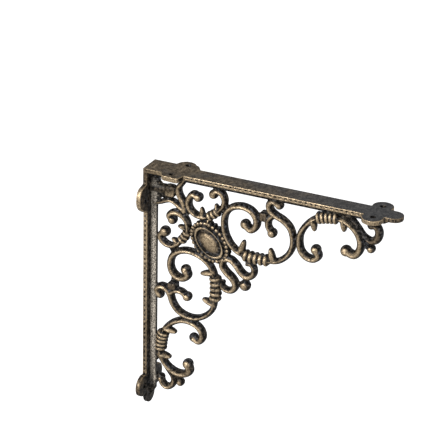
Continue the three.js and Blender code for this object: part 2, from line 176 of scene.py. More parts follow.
def section_curve(name, quarter, half_width, half_depth):
    """A closed curve with this section, to be the bevel of a bar."""
    outline = all_round(quarter)
    bpy.ops.object.select_all(action="DESELECT")
    bpy.ops.mesh.primitive_circle_add(vertices=len(outline), radius=MM, location=(0, 0, 0))
    circle = bpy.context.object
    circle.name = name
    for vertex, (across, height) in zip(circle.data.vertices, outline):
        vertex.co = Vector((across * half_width, height * half_depth, 0.0)) * MM
    bpy.ops.object.convert(target="CURVE")
    section = bpy.context.object
    section.hide_render = True
    return section


bar_section = section_curve("bar_section", RIDGED_QUARTER, BAR_HALF_WIDTH, BAR_HALF_DEPTH)
sunk_section = section_curve("sunk_section", ROUND_QUARTER, BAR_HALF_WIDTH, SUNK_HALF_DEPTH)
bridge_section = section_curve("bridge_section", ROUND_QUARTER, BAR_HALF_WIDTH, BRIDGE_HALF_DEPTH)
band_section = section_curve("band_section", ROUND_QUARTER, BAND_HALF_WIDTH, BAND_HALF_DEPTH)
print("sections made of", len(all_round(RIDGED_QUARTER)), "points")

# %% [markdown]
# A scroll is drawn with few points, and a smooth line is led through them. The line passes each
# point and takes shorter steps where points are close, which keeps tight curls round.

# %% A smooth line through points
LINE_STEP = 0.9


def smooth_line(points):
    """Points every millimetre or so on a centripetal curve through the drawn points."""
    drawn = [np.array(point, float) for point in points]
    ends = [2 * drawn[0] - drawn[1], *drawn, 2 * drawn[-1] - drawn[-2]]
    line = []
    for before, start, end, after in zip(ends, ends[1:], ends[2:], ends[3:]):
        gaps = [math.sqrt(np.linalg.norm(b - a)) for a, b in ((before, start), (start, end), (end, after))]
        t0, t1, t2, t3 = 0.0, gaps[0], gaps[0] + gaps[1], sum(gaps)
        count = max(2, round(float(np.linalg.norm(end - start)) / LINE_STEP))
        for t in np.linspace(t1, t2, count, endpoint=False):
            a1 = ((t1 - t) * before + (t - t0) * start) / (t1 - t0)
            a2 = ((t2 - t) * start + (t - t1) * end) / (t2 - t1)
            a3 = ((t3 - t) * end + (t - t2) * after) / (t3 - t2)
            b1 = ((t2 - t) * a1 + (t - t0) * a2) / (t2 - t0)
            b2 = ((t3 - t) * a2 + (t - t1) * a3) / (t3 - t1)
            line.append(((t2 - t) * b1 + (t - t1) * b2) / (t2 - t1))
    line.append(drawn[-1])
    return np.array(line)


# %% [markdown]
# A bar is a curve through such a line, in the plane Y = 0, with one of the sections as its bevel.
# Turned into a mesh, it gets closed ends and faces that look outwards.

# %% A bar along a line
WAIST = 0.87
PLAIN_WAIST = 0.5


def bar_scales(count, start, end, waist_at=PLAIN_WAIST, waist=WAIST):
    """The bar's size along its line: fullest in its curls and thinnest at its waist."""
    share = np.linspace(0.0, 1.0, count)
    return np.interp(share, [0.0, waist_at, 1.0], [start, waist, end])


def sweep(name, line, scales, section=None):
    """A closed mesh bar along a line of [along, down] points."""
    path = bpy.data.curves.new(name, "CURVE")
    path.dimensions = "3D"
    path.twist_mode = "Z_UP"
    path.bevel_mode = "OBJECT"
    path.bevel_object = section or bar_section
    path.use_fill_caps = True
    spline = path.splines.new("POLY")
    spline.points.add(len(line) - 1)
    for point, (along, down), scale in zip(spline.points, line, scales):
        point.co = (along * MM, (SHELF_FACE - down) * MM, 0.0, 1.0)
        point.radius = float(scale)
    bar = bpy.data.objects.new(name, path)
    bpy.context.scene.collection.objects.link(bar)
    bar.rotation_euler = (math.pi / 2, 0.0, 0.0)
    select_only(bar)
    bpy.ops.object.convert(target="MESH")
    bar = bpy.context.object
    bpy.ops.object.mode_set(mode="EDIT")
    bpy.ops.mesh.select_all(action="SELECT")
    bpy.ops.mesh.remove_doubles(threshold=MM * 0.001)
    bpy.ops.mesh.normals_make_consistent(inside=False)
    bpy.ops.object.mode_set(mode="OBJECT")
    return keep(bar, name)


def bar(name, points, start=1.0, end=1.0, waist_at=PLAIN_WAIST, waist=1.0):
    """A scroll bar through drawn points."""
    line = smooth_line(points)
    return sweep(name, line, bar_scales(len(line), start, end, waist_at, waist))


def sunk_bar(name, points, scale=1.0):
    """A low bar that lies behind the ridges of its neighbours."""
    line = smooth_line(points)
    return sweep(name, line, [scale] * len(line), sunk_section)


# %% [markdown]
# Scrolls end in curled knobs. Each is a ball as wide as the drawing says, and a little deeper than
# round, so that it stands level with the ridges beside it.

# %% Knobs
def knob(name, centre, radius, depth=None):
    """A ball or egg at a place in the openwork."""
    bpy.ops.object.select_all(action="DESELECT")
    bpy.ops.mesh.primitive_uv_sphere_add(segments=28, ring_count=18, radius=1.0, location=place(*centre))
    ball = bpy.context.object
    ball.scale = Vector((radius, depth or radius, radius)) * MM
    return keep(ball, name)


# %% [markdown]
# The wrapped bands are rings side by side round a thicker stretch of bar. One ring is a short drum
# with round shoulders, copied along the line and turned to follow it.

# %% Wrapped bands
RING_SIDES = 32
RING_FILL = 0.64
RING_ROUNDING = 0.42
CORE_SHARE = 0.78
ring_places = []


def stretch(points, after):
    """The part of the smooth line between one drawn point and the next."""
    line = smooth_line(points)
    start, end = (int(np.argmin(np.linalg.norm(line - np.array(points[k], float), axis=1)))
                  for k in (after, after + 1))
    return line[start:end + 1]


def ring_stack(name, points, after, count, size):
    """Rings in a row between the drawn point with that number and the next one."""
    line = stretch(points, after)
    travelled = np.concatenate([[0.0], np.cumsum(np.linalg.norm(np.diff(line, axis=0), axis=1))])
    pitch = travelled[-1] / count
    for number in range(count):
        low, middle, high = (np.array([np.interp((number + share) * pitch, travelled, line[:, axis])
                                       for axis in (0, 1)]) for share in (0.0, 0.5, 1.0))
        ring_places.append(middle)
        heading = math.atan2(high[0] - low[0], low[1] - high[1])
        bpy.ops.object.select_all(action="DESELECT")
        bpy.ops.mesh.primitive_cylinder_add(
            vertices=RING_SIDES, radius=1.0, depth=1.0, location=place(*middle))
        ring = bpy.context.object
        ring.scale = Vector((BAND_HALF_WIDTH * size, BAND_HALF_DEPTH * size, pitch * RING_FILL)) * MM
        ring.rotation_euler = (0.0, heading, 0.0)
        keep(ring, f"{name}_{number + 1}")
        use_modifier(ring, "BEVEL", width=pitch * RING_FILL * RING_ROUNDING * MM, segments=3,
                     limit_method="ANGLE")
    return sweep(f"{name}_core", line, [CORE_SHARE * size] * len(line), band_section)


# %% [markdown]
# Thorns are short blunt leaves that lean out of a bar beside each band.

# %% Thorns
THORN_SIZES = [(0.0, 1.1), (0.35, 1.08), (0.62, 0.96), (0.84, 0.74), (0.96, 0.5), (1.0, 0.28)]
THORN_SHARE = 0.92
thorn_places = []


def thorn(name, root, tip, width=1.0):
    """A blunt leaf from its root to its tip."""
    root, tip = np.array(root, float), np.array(tip, float)
    line = [root + (tip - root) * share for share, _ in THORN_SIZES]
    thorn_places.extend(line)
    return sweep(name, line, [THORN_SHARE * width * size for _, size in THORN_SIZES])


# %% [markdown]
# Each bar is drawn as a list of places, along the shelf arm and down from it. The wall side's lists
# are the same scrolls seen over the diagonal, written down first and then along, because the
# casting isn't quite alike on both sides. A thorn has a root, a tip and a width, and a bridge has a
# start, an end and a width.

# %% The drawing of the openwork
large_scroll = [
    (99.9, 39.4), (105.6, 43.4), (110.4, 39.2), (111, 32.3), (106.3, 25.3), (97, 22.3),
    (86.6, 25), (80.2, 32.5), (78.6, 43), (81.3, 55), (88.5, 65), (98.8, 70.2),
    (124, 70.8), (133.5, 68.8), (141.8, 62), (146.6, 53), (147.2, 43), (143.9, 33.3),
    (137, 27.3), (129.5, 24), (124, 19.8), (123.2, 14.2), (127.2, 10.6), (132.8, 13.6),
]
large_scroll_at_wall = [
    (98.9, 40.2), (103.8, 42.8), (107.8, 39), (108.4, 32.8), (104.4, 27), (96.4, 24.4),
    (87.4, 26.6), (81.4, 33), (78.8, 43), (81.3, 55), (88.5, 65), (98.8, 70.2),
    (124, 70.8), (133.5, 68.8), (141.8, 62), (146.6, 53), (147.2, 43), (143.5, 33.3),
    (136, 27.3), (128.5, 24.6), (123, 20.8), (121.6, 14.8), (125.4, 10.8), (130.8, 13.8),
]
outer_scroll = [
    (169.6, 49.4), (172.4, 55), (167.6, 59.2), (160.8, 58.4), (155.6, 53.4), (153.6, 45.5),
    (154.3, 36.8), (158.6, 28.3), (164.4, 21.6), (169.6, 18.2), (189.4, 14.4), (199, 16.6),
    (207, 22.6), (211.8, 31.6), (211.4, 40.6), (206.4, 46.4), (198.4, 44.1),
]
outer_scroll_at_wall = [
    (168.4, 49.8), (170.8, 55.2), (166.4, 58.9), (160.4, 58.2), (155, 53.4), (152.4, 45.5),
    (152.8, 36.8), (156.8, 28.3), (163, 21.6), (169, 18), (189.4, 14.8), (198.6, 17),
    (206.2, 23), (210.6, 32), (210, 40.6), (205.4, 46), (198.4, 43.9),
]
inner_scroll = [
    (52, 22.4), (47.4, 20.2), (43.4, 24.6), (42.2, 31), (44.6, 36.4), (51, 40.6),
    (62, 39.8), (72.8, 31.8), (77.8, 25.8), (78.6, 19.2), (75.6, 13.6), (70.6, 12.2), (67.4, 16.2),
]
inner_scroll_at_wall = [
    (50.4, 26), (46.6, 23), (43.2, 26), (42.4, 31.6), (45.4, 38), (51.2, 41.6),
    (58.8, 41.8), (70.6, 34.6), (76.6, 27.6), (76.6, 20.6), (73, 15.4), (68.4, 14), (64, 18.4),
]
end_branch = [
    (195, 6), (203, 12.6), (209, 19.2), (214.8, 26), (221.4, 29.2), (227, 26.4), (228.6, 20),
    (226, 14.4), (221, 14.4),
]
foot_strand = [
    (78, 79.5), (85.6, 77.8), (91.6, 82), (97, 88.6), (103, 91.8), (108.8, 88.8),
    (110, 83), (107, 78.2), (102, 78.6),
]
ball_branch = [(127.5, 24.5), (123, 29.5), (122.6, 36), (126.6, 42.3)]
BUD_ROOT = (210, 31)
BUDS = {"shelf": (222, 37), "wall": (220.2, 36.4)}
heart_strand = [
    (39.6, 5.4), (36, 11), (32.6, 15.6), (31.9, 19.6), (33, 24), (36, 29), (38.2, 33.6), (38.8, 40),
]
end_branch_at_wall = [
    (190, 8), (195.5, 13.6), (202, 18.2), (208.8, 23.3), (214.6, 28), (220, 29.6), (226, 26.8),
    (228.4, 22), (225.5, 17.4), (219.5, 15.6),
]
heart_strand_at_wall = [
    (36.4, 7), (35, 13), (32.4, 19), (31, 23.6), (32.2, 28), (35, 32.6), (37.4, 36.6), (39, 39.6),
]

thorns = [
    ((95.8, 69), (99.2, 55.6), 1.0), ((128, 69.5), (125, 58), 1.0),
    ((165.6, 20), (167.6, 31.6), 1.0), ((194.6, 15.5), (195.8, 26), 1.0),
    ((56.6, 40.2), (55.4, 31.6), 0.8), ((72.2, 32.8), (69.6, 25.2), 0.8),
]
bridges = [
    ((110, 28.4), (125.5, 26.4), 1.3),
    ((147.2, 44), (153.6, 44), 1.3), ((76, 23), (84, 28), 1.1),
    ((56, 41), (60, 52), 1.3), ((43.2, 32), (34, 32), 1.1),
    ((81, 54), (74, 58), 1.3), ((103, 71), (103.6, 79), 1.2),
    ((101.2, 101.2), (101.6, 91.4), 1.2), ((181, 16), (181, 6), 1.5),
    ((222, 15), (222, 6), 1.2), ((192, 14), (201, 9), 1.2),
]
COLLAR_PLACE = (118.4, 27.2)
CORNER_KNOB_PLACE = (23.6, 21.6)
CORNER_KNOB_TOP = (23.6, 16.8)
NECK_PLACES = [(11, 21), (15, 21), (12, 26)]
print("drawing of", len(large_scroll) + len(outer_scroll) + len(inner_scroll), "points a side")

# %% [markdown]
# The openwork is the same set of bars on both sides of the diagonal. Where two bars only touch,
# a short bridge of metal joins them, as the iron does when it fills the mould. A bar's size runs
# from its start over its waist to its end, as shares of the full section.

# %% Openwork on both sides
BRIDGE_SHARE = 0.75


def bridge(name, start, end, width):
    """Metal between two bars that touch."""
    line = np.linspace(start, end, 4)
    return sweep(name, line, [BRIDGE_SHARE * width] * len(line), bridge_section)


def collar(name, centre, half_size, half_depth, rounding):
    """A squared collar of metal round two bars, with rounded edges."""
    bpy.ops.object.select_all(action="DESELECT")
    bpy.ops.mesh.primitive_cube_add(size=2.0, location=place(*centre))
    cube = bpy.context.object
    cube.scale = Vector((half_size[0], half_depth, half_size[1])) * MM
    keep(cube, name)
    use_modifier(cube, "BEVEL", width=rounding * MM, segments=3, limit_method="ANGLE")
    return cube


def openwork(side, turned, large, outer, inner, branch, heart):
    """All bars of one side; turned lays a list of points on that side."""
    on_shelf = side == "shelf"
    bar(f"large_scroll_{side}", turned(large), start=1.15, end=1.12, waist_at=0.58, waist=WAIST)
    knob(f"large_scroll_eye_{side}", *turned([large[0]]), 5.1, 5.4)
    knob(f"large_scroll_hook_{side}", *turned([large[-1]]), 4.0, 5.4)
    ring_stack(f"large_scroll_band_{side}", turned(large), 11, 5, 1.08)
    bar(f"outer_scroll_{side}", turned(outer), start=1.15, end=1.25, waist_at=0.55, waist=WAIST)
    knob(f"outer_scroll_start_{side}", *turned([outer[0]]), 4.9, 6.0 if on_shelf else 4.6)
    knob(f"outer_scroll_end_{side}", *turned([outer[-1]]), 5.3, 6.2)
    ring_stack(f"outer_scroll_band_{side}", turned(outer), 9, 5, 1.1)
    bar(f"inner_scroll_{side}", turned(inner), start=1.1, end=1.1, waist_at=0.6, waist=WAIST)
    knob(f"inner_scroll_start_{side}", *turned([inner[0]]), 4.6, 5.8)
    knob(f"inner_scroll_end_{side}", *turned([inner[-1]]), 4.5 if on_shelf else 5.3, 5.8)
    ring_stack(f"inner_scroll_band_{side}", turned(inner), 6, 3, 0.88)
    sunk_bar(f"end_branch_root_{side}", turned(branch[:5]))
    bar(f"end_branch_{side}", turned(branch[3:]), start=0.7, end=1.0, waist_at=0.4,
        waist=1.25 if on_shelf else 1.0)
    knob(f"end_branch_tip_{side}", *turned([branch[-1]]), 3.9, 4.4)
    bar(f"foot_strand_{side}", turned(foot_strand), start=1.05, end=0.8, waist_at=0.6, waist=1.1)
    bar(f"ball_branch_{side}", turned(ball_branch), start=1.0, end=0.95)
    knob(f"ball_branch_ball_{side}", *turned([ball_branch[-1]]), 4.6, 5.9)
    sunk_bar(f"bud_stem_{side}", turned([BUD_ROOT, BUDS[side]]))
    knob(f"bud_{side}", *turned([BUDS[side]]), 4.0, 5.4)
    bar(f"heart_strand_{side}", turned(heart), start=0.75, end=1.0, waist=1.0 if on_shelf else 0.8)
    for number, (root, tip, width) in enumerate(thorns):
        thorn(f"thorn_{side}_{number + 1}", *turned([root, tip]), width)
    for number, (start, end, width) in enumerate(bridges):
        bridge(f"bridge_{side}_{number + 1}", *turned([start, end]), width)
    collar(f"collar_{side}", *turned([COLLAR_PLACE, (3.9, 4.7)]), half_depth=4.9, rounding=2.0)


def at_shelf(points):
    """Points of the shelf arm's side, as drawn."""
    return points


def at_wall(points):
    """Points of the wall arm's side, over the diagonal."""
    return [point[::-1] for point in points]


openwork("shelf", at_shelf, large_scroll, outer_scroll, inner_scroll, end_branch, heart_strand)
openwork("wall", at_wall, large_scroll_at_wall, outer_scroll_at_wall, inner_scroll_at_wall,
         end_branch_at_wall, heart_strand_at_wall)
print(len(casting_parts), "parts of openwork")

# %% [markdown]
# On the diagonal lie the corner knob with the metal that ties it to the corner, the joint of the
# heart and the ball at the foot.

# %% Parts on the diagonal
collar("corner_knob", CORNER_KNOB_PLACE, (5.6, 6.0), half_depth=5.0, rounding=3.4)
bridge("corner_neck", (5, 21.4), (22, 21.2), 2.2)
bridge("corner_web", (8, 28), (20, 26.5), 1.3)
bridge("corner_fillet", (10, 8), (11.8, 19), 1.0)
bridge("heart_point", (36, 37), (42, 43), 1.2)
bar("medallion_tie", [(63.6, 42), (62.6, 46), (59.8, 51)], start=0.85, end=0.7)
knob("foot_ball", (101.2, 101.2), 5.6)
print(len(casting_parts), "parts with the diagonal")

# %% [markdown]
# The medallion is an oval disc with a string of beads round its edge, a raised ring and a domed
# middle, alike on both faces. The disc, ring and dome start round, are stretched to the oval and
# turned onto the diagonal, and the beads are set round it one by one.

# %% Medallion
MEDALLION = (65.2, 64.2)
RIM_LONG, RIM_SHORT = 21.0, 15.4
RIM_HALF_DEPTH = 4.2
BEADS = 28
BEAD_RADIUS = 2.15
BEAD_INSET = 0.6
BEAD_SINK = 1.0
RING_LONG, RING_SHORT = 16.2, 10.5
RING_TUBE = 1.05
ROUND_TUBE = 0.09
RING_HEIGHT = 4.3
DOME_LONG, DOME_SHORT = 14.2, 8.5
DOME_HEIGHT = 5.0
FLOOR_HALF_DEPTH = 3.3
FLOOR_INSET = 1.2
diagonal = math.pi / 4


def oval_place(share, long, short):
    """A place on an oval round the medallion's middle, with its long axis down the diagonal."""
    angle = 2 * math.pi * share
    out, side = long * math.cos(angle), short * math.sin(angle)
    return (MEDALLION[0] + (out + side) * math.sqrt(0.5), MEDALLION[1] + (out - side) * math.sqrt(0.5))


def oval_disc(name, long, short, half_depth):
    """A flat oval disc in the openwork's plane."""
    bpy.ops.object.select_all(action="DESELECT")
    bpy.ops.mesh.primitive_cylinder_add(vertices=64, radius=1.0, depth=2.0, location=place(*MEDALLION))
    disc = bpy.context.object
    disc.rotation_euler = (math.pi / 2, 0.0, 0.0)
    disc.scale = Vector((long, short, half_depth)) * MM
    apply_place()
    return turned_to_diagonal(disc, name)


def turned_to_diagonal(item, name):
    """Turns a part in the medallion's middle until its long axis lies on the diagonal."""
    middle = place(*MEDALLION)
    spin = Matrix.Translation(middle) @ Matrix.Rotation(diagonal, 4, "Y") @ Matrix.Translation(-middle)
    item.data.transform(spin)
    return keep(item, name)


oval_disc("medallion_floor", RIM_LONG - FLOOR_INSET, RIM_SHORT - FLOOR_INSET, FLOOR_HALF_DEPTH)
for face, face_name in ((-1, "front"), (1, "back")):
    for number in range(BEADS):
        along, down = oval_place(number / BEADS, RIM_LONG - BEAD_INSET, RIM_SHORT - BEAD_INSET)
        bpy.ops.object.select_all(action="DESELECT")
        bpy.ops.mesh.primitive_uv_sphere_add(
            segments=16, ring_count=10, radius=BEAD_RADIUS * MM,
            location=place(along, down, face * (RIM_HALF_DEPTH - BEAD_SINK)))
        keep(bpy.context.object, f"bead_{number + 1}_{face_name}")
    bpy.ops.object.select_all(action="DESELECT")
    bpy.ops.mesh.primitive_torus_add(
        major_segments=64, minor_segments=16, major_radius=1.0, minor_radius=ROUND_TUBE,
        location=place(*MEDALLION, face * RING_HEIGHT))
    ring = bpy.context.object
    ring.rotation_euler = (math.pi / 2, 0.0, 0.0)
    ring.scale = Vector((RING_LONG, RING_SHORT, RING_TUBE / ROUND_TUBE)) * MM
    apply_place()
    turned_to_diagonal(ring, f"medallion_ring_{face_name}")
bpy.ops.object.select_all(action="DESELECT")
bpy.ops.mesh.primitive_uv_sphere_add(segments=48, ring_count=24, radius=1.0, location=place(*MEDALLION))
dome = bpy.context.object
dome.scale = Vector((DOME_LONG, DOME_HEIGHT, DOME_SHORT)) * MM
apply_place()
turned_to_diagonal(dome, "medallion_dome")
print("medallion with", BEADS, "beads a face")

# %% [markdown]
# A plate is a flat bar with discs for its nose and most screw ears. Three ears by the corner aren't
# round, and are slabs with a drawn outline: the shelf plate's near ear is a low lip, its far ear
# runs out in a slope, and the wall plate's near ear is a broad lobe. The ears get their screw holes
# before the parts are fused. The plate's long edges carry a moulding: a thin rail on top, a sunk
# line broken by small slanting bars, and a broader rail below. Holes and outlines are given along
# the arm and across it.

# %% Plates
CORNER_NEAR, CORNER_FAR = 11.0, 13.5
NOSE_RADIUS = 8.8
EAR_SIZES = {"shelf": (9.8, 13.0), "wall": (10.8, 14.0)}
FIRST_EARS = 32.6
LAST_EARS = ARM - 24.0
LIP = [
    (16, -8), (18.6, -11), (20.4, -14), (22, -16.8), (25, -18.3), (30, -18.8), (36, -19.3),
    (38.8, -18.6), (39.8, -15), (40.8, -10), (41.4, -8),
]
LIP_DROP = 0.6
EAR_SLOPE = [(26, 8), (25.3, 19.8), (29.5, 22.8), (37.2, 20.6), (44.4, 16.4), (48.4, 10.6), (48.4, 8)]
LOBE = [
    (15, -8), (15.6, -11), (16.8, -15), (17.4, -19), (19.8, -22.2), (24, -24), (29.5, -24.7),
    (34.7, -23.3), (38.7, -20.2), (42, -15.4), (44, -10), (44.4, -8),
]
HOLE_RADIUS = 2.6
SHELF_HOLES = [(29.9, -11.3), (34.2, 14.4), (226, -12.6), (226, 12.6)]
WALL_HOLES = [(32.6, -12.8), (32.6, 12.8), (226, -12.8), (226, 12.8)]
TOP_RAIL = 1.2
SUNK_LINE = 1.3
SUNK_DEPTH = 1.2
BAR_PITCH = 4.9
BAR_LENGTH = 2.4
BAR_LEAN = 0.8
BAR_OVERLAP = 0.2
CORNER_LENGTH = FIRST_EARS - 5


def block(name, low, high, lean=0.0):
    """A box between two corners, in millimetres, whose far end may lean along X."""
    bpy.ops.object.select_all(action="DESELECT")
    low, high = Vector(low) * MM, Vector(high) * MM
    bpy.ops.mesh.primitive_cube_add(size=1.0, location=(low + high) / 2)
    box = bpy.context.object
    box.scale = high - low
    apply_place()
    for vertex in box.data.vertices:
        if vertex.co.z > (low.z + high.z) / 2:
            vertex.co.x += lean * MM
    box.name = name
    return box


def disc(name, x, y, radius, low, high, sides=64):
    """A round disc in a plate, in millimetres."""
    bpy.ops.object.select_all(action="DESELECT")
    bpy.ops.mesh.primitive_cylinder_add(
        vertices=sides, radius=radius * MM, depth=(high - low) * MM,
        location=Vector((x, y, (low + high) / 2)) * MM)
    bpy.context.object.name = name
    return bpy.context.object


def slab(name, outline, low, high):
    """A flat piece with a drawn outline, in millimetres: a filled circle, shaped and extruded."""
    bpy.ops.object.select_all(action="DESELECT")
    bpy.ops.mesh.primitive_circle_add(
        vertices=len(outline), radius=MM, fill_type="NGON", location=(0, 0, 0))
    item = bpy.context.object
    item.name = name
    for vertex, (x, y) in zip(item.data.vertices, outline):
        vertex.co = Vector((x, y, low)) * MM
    bpy.ops.object.mode_set(mode="EDIT")
    bpy.ops.mesh.select_all(action="SELECT")
    bpy.ops.mesh.extrude_region_move(TRANSFORM_OT_translate={"value": (0.0, 0.0, (high - low) * MM)})
    bpy.ops.mesh.select_all(action="SELECT")
    bpy.ops.mesh.normals_make_consistent(inside=False)
    bpy.ops.object.mode_set(mode="OBJECT")
    return item


def plate(side, outlines, holes):
    """The parts of one plate, laid along X with its outer face at Z = 0."""
    bottom, top = -PLATE_THICKNESS, 0.0
    edge = PLATE_HALF_WIDTH
    inner = edge - SUNK_DEPTH
    sunk_top, sunk_bottom = -TOP_RAIL, -TOP_RAIL - SUNK_LINE
    radius, offset = EAR_SIZES[side]
    flats = [
        block("plate_bar", (0, -inner, bottom), (ARM - NOSE_RADIUS, inner, top)),
        block("top_rail", (0, -edge, sunk_top), (LAST_EARS, edge, top)),
        block("lower_rail", (0, -edge, bottom), (LAST_EARS, edge, sunk_bottom)),
        block("corner", (0, -CORNER_NEAR, bottom), (CORNER_LENGTH, CORNER_FAR, top)),
    ]
    parts = [*flats, disc("nose", ARM - NOSE_RADIUS, 0, NOSE_RADIUS, bottom, top)]
    for number in range(int((LAST_EARS - FIRST_EARS) / BAR_PITCH)):
        x = FIRST_EARS + (number + 0.5) * BAR_PITCH
        low = (x, -edge, sunk_bottom - BAR_OVERLAP)
        high = (x + BAR_LENGTH, edge, sunk_top + BAR_OVERLAP)
        parts.append(block("edge_bar", low, high, BAR_LEAN))
    ears = [disc(f"ear_{way}_{x:.0f}", x, way * offset, radius, bottom, top)
            for x, way in ((FIRST_EARS, 1), (LAST_EARS, -1), (LAST_EARS, 1))]
    ears += [slab("drawn_ear", outline, bottom - drop, top) for outline, drop in outlines]
    for x, y in holes:
        hole = disc("drill", x, y, HOLE_RADIUS, bottom * 2, -bottom, 32)
        for item in ears + flats:
            use_modifier(item, "BOOLEAN", operation="DIFFERENCE", object=hole, solver="EXACT")
        bpy.data.objects.remove(hole)
    parts += ears
    parts.append(rib())
    return parts


# %% [markdown]
# Behind each plate runs a rib, a bar with round shoulders whose end slopes up into the nose. Both
# plates are modelled flat, along X, and then laid in place: one is lifted to the shelf face, and
# one is turned over the diagonal.

# %% Ribs
RIB_END_GAP = 3.0
RIB_END_SLOPE = 14.0
RIB_SHOULDER = 2.0


def rib():
    """A rib along X under its plate."""
    end = ARM - RIB_END_GAP
    low = -PLATE_THICKNESS - RIB_HEIGHT
    body = block("rib", (0, -RIB_HALF_WIDTH, low), (end, RIB_HALF_WIDTH, -PLATE_THICKNESS / 2))
    for vertex in body.data.vertices:
        if vertex.co.x > end * MM / 2 and vertex.co.z < -PLATE_THICKNESS * MM:
            vertex.co.x -= RIB_END_SLOPE * MM
    use_modifier(body, "BEVEL", width=RIB_SHOULDER * MM, segments=5, limit_method="ANGLE")
    return body


def shelf_side(item):
    """Lifts a plate part to the shelf face."""
    item.data.transform(Matrix.Translation((0.0, 0.0, SHELF_FACE * MM)))


def wall_side(item):
    """Turns a plate part over the diagonal, so that it runs down the wall."""
    swap = Matrix(((0, 0, -1, 0), (0, 1, 0, 0), (-1, 0, 0, SHELF_FACE * MM), (0, 0, 0, 1)))
    item.data.transform(swap)
    item.data.flip_normals()


for side, outlines, holes, lay in (
        ("shelf", [(LIP, LIP_DROP), (EAR_SLOPE, 0.0)], SHELF_HOLES, shelf_side),
        ("wall", [(LOBE, 0.0)], WALL_HOLES, wall_side)):
    for part in plate(side, outlines, holes):
        select_only(part)
        apply_place()
        lay(part)
        part.name = f"{part.name.split('.')[0]}_{side}"
        casting_parts.append(part)
print(len(casting_parts), "parts in all")

# %% [markdown]
# In the mould all these forms are one hollow. Joining them and remeshing the result with small
# voxels does the same: inner walls vanish, and where two forms meet the metal flows together.
# A light smoothing takes off the voxels' steps. The voxels are small enough to keep the beads and
# the small bars of the edges.

# %% Fuse the casting
VOXEL = 0.48
SMOOTHING_STEPS = 3
MOST_TRIANGLES = 190000

select_only(*casting_parts)
bpy.ops.object.join()
casting = bpy.context.object
casting.name = "casting"
use_modifier(casting, "REMESH", mode="VOXEL", voxel_size=VOXEL * MM, adaptivity=0.0)
use_modifier(casting, "SMOOTH", factor=0.5, iterations=SMOOTHING_STEPS)
print("fused skin of", len(casting.data.polygons), "faces")

# %% [markdown]
# The finish depends on the form: bronze was brushed over the black iron and stayed on ridges,
# beads and edges, while hollows kept the black. On crests and faces turned to the front the
# bronze is also a painted highlight. So each point of the skin is measured: how far it stands out
# of its smoothed surroundings, and how much it faces the front or the back.

# %% Measure ridges and hollows
NEAR_STEPS, WIDE_STEPS = 5, 26
OWN_SHARE = 0.3


def skin_arrays(item):
    """Places, normals and edges of a mesh as arrays, in millimetres."""
    mesh = item.data
    count = len(mesh.vertices)
    places = np.empty(count * 3)
    mesh.vertices.foreach_get("co", places)
    normals = np.empty(count * 3, np.float32)
    mesh.vertex_normals.foreach_get("vector", normals)
    edges = np.empty(len(mesh.edges) * 2, np.int32)
    mesh.edges.foreach_get("vertices", edges)
    return places.reshape(-1, 3) / MM, normals.reshape(-1, 3), edges.reshape(-1, 2)


def blurred(values, edges, steps):
    """Values averaged over neighbours, some steps wide."""
    count = len(values)
    ends = np.concatenate([edges[:, 0], edges[:, 1]])
    others = np.concatenate([edges[:, 1], edges[:, 0]])
    share = 1 / np.maximum(np.bincount(ends, minlength=count), 1)
    columns = values.reshape(count, -1).astype(float)
    for _ in range(steps):
        mean = [np.bincount(ends, columns[others, k], minlength=count) * share
                for k in range(columns.shape[1])]
        columns = OWN_SHARE * columns + (1 - OWN_SHARE) * np.stack(mean, axis=1)
    return columns.reshape(values.shape)


def ramp(values, low, high):
    """Zero below low, one above high and smooth between."""
    share = np.clip((values - low) / (high - low), 0.0, 1.0)
    return share * share * (3 - 2 * share)


def fade(values, low, high):
    """One below low, zero above high and smooth between."""
    return ramp(-values, -high, -low)


places, normals, edges = skin_arrays(casting)
near = np.einsum("ij,ij->i", places - blurred(places, edges, NEAR_STEPS), normals)
wide = np.einsum("ij,ij->i", places - blurred(places, edges, WIDE_STEPS), normals)
print("standing out: near", np.percentile(near, [1, 10, 50, 90, 99]).round(3),
      "wide", np.percentile(wide, [1, 10, 50, 90, 99]).round(3))

# %% [markdown]
# The finish is laid out as masks, one value at each point of the skin, and all distances in them
# are in millimetres. First come the regions. The bands, thorns and collars are found again by the
# places where they were modelled.

# %% Regions of the casting
depth = np.abs(places[:, 1])
facing = np.abs(normals[:, 1])
down_from_shelf = SHELF_FACE - places[:, 2]
from_wall = places[:, 0]
far_along = np.maximum(from_wall, down_from_shelf)
down_or_along = np.minimum(from_wall, down_from_shelf)
in_openwork = ramp(down_or_along, 8.6, 10.4)
on_plates = 1 - in_openwork

out = (from_wall + down_from_shelf - sum(MEDALLION)) * math.sqrt(0.5)
aside = (from_wall - down_from_shelf) * math.sqrt(0.5)
oval = np.hypot(out / RIM_LONG, aside / RIM_SHORT)
in_medallion = fade(oval, 0.98, 1.04)


def distance_from(spots):
    """How far each point lies from the nearest of some places in the openwork."""
    nearest = np.full(len(places), np.inf)
    for along, down in spots:
        nearest = np.minimum(nearest, np.hypot(from_wall - along, down_from_shelf - down))
    return nearest


in_corner = fade(far_along, 40, 46)
in_band = fade(distance_from(ring_places), 5.6, 7.0)
on_thorn = fade(distance_from(thorn_places), 2.6, 3.4)
on_collar = fade(distance_from([COLLAR_PLACE, COLLAR_PLACE[::-1]]), 4.6, 6.2)
# The top of the corner knob, under the shelf plate, is marked for painted shade.
knob_top_in_shade = fade(distance_from([CORNER_KNOB_TOP]), 4.0, 6.6)
# The neck between the corner and its knob, under the shelf plate, is marked for painted shade.
neck_in_shade = fade(distance_from(NECK_PLACES), 4, 7)
shelf_end = ramp(from_wall, ARM - 37, ARM - 33) * fade(down_from_shelf, 31.5, 33.5)
print("openwork", round(float(in_openwork.mean()), 3), "medallion", round(float(in_medallion.mean()), 3))
